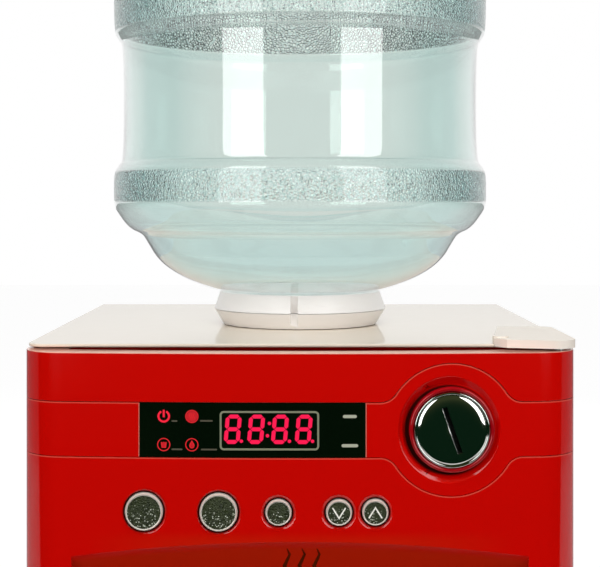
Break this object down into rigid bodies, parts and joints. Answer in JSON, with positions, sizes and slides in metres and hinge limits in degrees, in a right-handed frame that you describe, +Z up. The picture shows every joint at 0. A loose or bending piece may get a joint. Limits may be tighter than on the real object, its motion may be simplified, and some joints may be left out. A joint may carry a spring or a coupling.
{
  "type": "vending machine",
  "caption": "Table-top coin-operated hot drinks vending machine with a hinged red door, cup bay, drip tray and an upturned water bottle on its receiver.",
  "frame": {"origin": "on the floor under the middle of the machine's bounding box", "axes": "+Z up, the door faces -Y, +X is to the right seen from the front"},
  "size_m": [0.34, 0.3721, 0.965],
  "materials": {
    "red_plastic": "smooth high gloss",
    "cream_panel": "smooth semi-gloss enamel",
    "cream_plastic": "satin moulded",
    "white_plastic": "satin moulded",
    "black_gloss": "polished",
    "dark_plastic": "fine grain",
    "chrome": "polished plating",
    "steel": "fine brushed",
    "rubber_foot": "matte",
    "clear_bottle": "clear moulded plastic, pebbled bands",
    "clear_canister": "clear moulded plastic",
    "blue_cap": "satin",
    "circuit_board": "solder mask"
  },
  "bodies": {
    "cabinet": {"side_panel_left": "cream_panel", "side_panel_right": "cream_panel", "rear_panel": "cream_panel", "front_frame": "cream_panel", "top_cover": "cream_panel", "cup_bay_liner": "cream_plastic", "hinge_cover": "cream_plastic", "receiver_lower": "white_plastic", "receiver_upper": "white_plastic", "reservoir_tank": "white_plastic", "canister_lid_left": "dark_plastic", "canister_lid_middle": "dark_plastic", "canister_lid_right": "dark_plastic", "mixing_trough": "dark_plastic", "dispensing_nozzle": "dark_plastic", "water_pump": "dark_plastic", "power_inlet": "dark_plastic", "base_pan": "steel", "canister_shelf": "steel", "auger_motor_left": "steel", "auger_motor_middle": "steel", "auger_motor_right": "steel", "whipper_motor": "steel", "hinge_bracket_upper": "steel", "hinge_bracket_lower": "steel", "boiler_tank": "steel", "power_supply": "steel", "foot_front_left": "rubber_foot", "foot_front_right": "rubber_foot", "foot_rear_left": "rubber_foot", "foot_rear_right": "rubber_foot", "powder_canister_left": "clear_canister", "powder_canister_middle": "clear_canister", "powder_canister_right": "clear_canister"},
    "door": {"door_top_fascia": "red_plastic", "door_belt": "red_plastic", "door_lower_fascia": "red_plastic", "door_back_plate": "cream_plastic", "display_window": "black_gloss", "digit_display": "dark_plastic", "panel_board": "circuit_board", "coin_entry": "chrome", "coin_mechanism": "dark_plastic", "coin_chute": "dark_plastic", "coin_box": "steel"},
    "button_select_one": {"button_select_one": "chrome"},
    "button_select_two": {"button_select_two": "chrome"},
    "button_set": {"button_set": "chrome"},
    "button_down": {"button_down": "chrome"},
    "button_up": {"button_up": "chrome"},
    "door_lock": {"door_lock": "chrome"},
    "drip_tray": {"drip_tray": "dark_plastic"},
    "drip_grille": {"drip_grille": "steel"},
    "bottle": {"water_bottle": "clear_bottle", "bottle_cap": "blue_cap"},
    "auger_left": {"auger_left": "white_plastic"},
    "auger_middle": {"auger_middle": "white_plastic"},
    "auger_right": {"auger_right": "white_plastic"},
    "whipper_impeller": {"whipper_impeller": "white_plastic"},
    "power_switch": {"power_switch": "dark_plastic"}
  },
  "joints": [
    {"name": "front_door", "type": "hinge", "parent": "cabinet", "child": "door", "pos_m": [0.16, -0.159, 0.25], "axis": [0, 0, 1], "range_deg": [0, 105]},
    {"name": "button_select_one_press", "type": "slide", "parent": "door", "child": "button_select_one", "axis": [0, 1, 0], "range_m": [0, 0.002], "stiffness_N_per_m": 400},
    {"name": "button_select_two_press", "type": "slide", "parent": "door", "child": "button_select_two", "axis": [0, 1, 0], "range_m": [0, 0.002], "stiffness_N_per_m": 400},
    {"name": "button_set_press", "type": "slide", "parent": "door", "child": "button_set", "axis": [0, 1, 0], "range_m": [0, 0.002], "stiffness_N_per_m": 400},
    {"name": "button_down_press", "type": "slide", "parent": "door", "child": "button_down", "axis": [0, 1, 0], "range_m": [0, 0.002], "stiffness_N_per_m": 400},
    {"name": "button_up_press", "type": "slide", "parent": "door", "child": "button_up", "axis": [0, 1, 0], "range_m": [0, 0.002], "stiffness_N_per_m": 400},
    {"name": "lock_turn", "type": "hinge", "parent": "door", "child": "door_lock", "pos_m": [-0.151, -0.16, 0.2], "axis": [0, 1, 0], "range_deg": [0, 90]},
    {"name": "drip_tray_slide", "type": "slide", "parent": "cabinet", "child": "drip_tray", "axis": [0, -1, 0], "range_m": [0, 0.11]},
    {"name": "drip_grille_lift", "type": "slide", "parent": "drip_tray", "child": "drip_grille", "axis": [0, 0, 1], "range_m": [0, 0.05]},
    {"name": "bottle_lift", "type": "slide", "parent": "cabinet", "child": "bottle", "axis": [0, 0, 1], "range_m": [0, 0.12]},
    {"name": "power_switch_rock", "type": "hinge", "parent": "cabinet", "child": "power_switch", "pos_m": [-0.05, 0.177, 0.07], "axis": [1, 0, 0], "range_deg": [0, 12]},
    {"name": "auger_left_turn", "type": "hinge", "parent": "cabinet", "child": "auger_left", "pos_m": [-0.091, -0.1, 0.349], "axis": [0, 1, 0], "continuous": true},
    {"name": "auger_middle_turn", "type": "hinge", "parent": "cabinet", "child": "auger_middle", "pos_m": [0, -0.1, 0.349], "axis": [0, 1, 0], "continuous": true},
    {"name": "auger_right_turn", "type": "hinge", "parent": "cabinet", "child": "auger_right", "pos_m": [0.091, -0.1, 0.349], "axis": [0, 1, 0], "continuous": true},
    {"name": "whipper_turn", "type": "hinge", "parent": "cabinet", "child": "whipper_impeller", "pos_m": [0, -0.1, 0.3], "axis": [0, 1, 0], "continuous": true}
  ]
}
